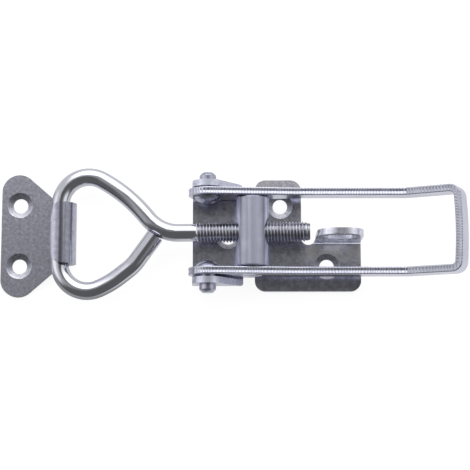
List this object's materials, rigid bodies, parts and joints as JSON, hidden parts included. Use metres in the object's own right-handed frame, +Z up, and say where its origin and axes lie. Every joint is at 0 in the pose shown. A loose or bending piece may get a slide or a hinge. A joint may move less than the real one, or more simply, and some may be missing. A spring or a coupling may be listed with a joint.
{
  "type": "over centre toggle latch",
  "caption": "Adjustable over centre toggle latch with a wire loop, threaded shank, U-shaped lever, padlock eye and hooked strike plate.",
  "frame": {"origin": "on the base plate's mounting face, directly under the lever's pivot and midway between the two ears", "axes": "+X from the pivot to the lever's grip, +Y across the latch towards the ear with the short flange, +Z up out of the mounting face"},
  "size_m": [0.1831, 0.0524, 0.0251],
  "materials": {
    "zinc_sheet": "zinc plated pressed sheet, satin",
    "zinc_wire": "bright zinc plated drawn wire",
    "zinc_bar": "zinc plated turned bar, satin"
  },
  "bodies": {
    "base": {"base_plate": "zinc_sheet", "pivot_rivet_left": "zinc_bar", "pivot_rivet_right": "zinc_bar"},
    "lever": {"lever": "zinc_sheet"},
    "barrel": {"barrel": "zinc_bar"},
    "bow": {"wire_bow": "zinc_wire"},
    "strike": {"strike_plate": "zinc_sheet"}
  },
  "joints": [
    {"name": "lever_pivot", "type": "hinge", "parent": "base", "child": "lever", "pos_m": [0, 0, 0.0105], "axis": [0, -1, 0], "range_deg": [0, 150]},
    {"name": "barrel_swivel", "type": "hinge", "parent": "lever", "child": "barrel", "pos_m": [0.01743, 0, 0.0112], "axis": [0, -1, 0], "range_deg": [-150, 0]},
    {"name": "bow_adjust", "type": "slide", "parent": "barrel", "child": "bow", "axis": [0.9983, 0, 0.0591], "range_m": [-0.012, 0.0015]},
    {"name": "strike_swing", "type": "hinge", "parent": "bow", "child": "strike", "pos_m": [-0.05854, 0, 0.0067], "axis": [0, -1, 0], "range_deg": [-90, 90]}
  ],
  "couplings": [
    {"joint": "barrel_swivel", "follows": "lever_pivot", "ratio": -1}
  ]
}
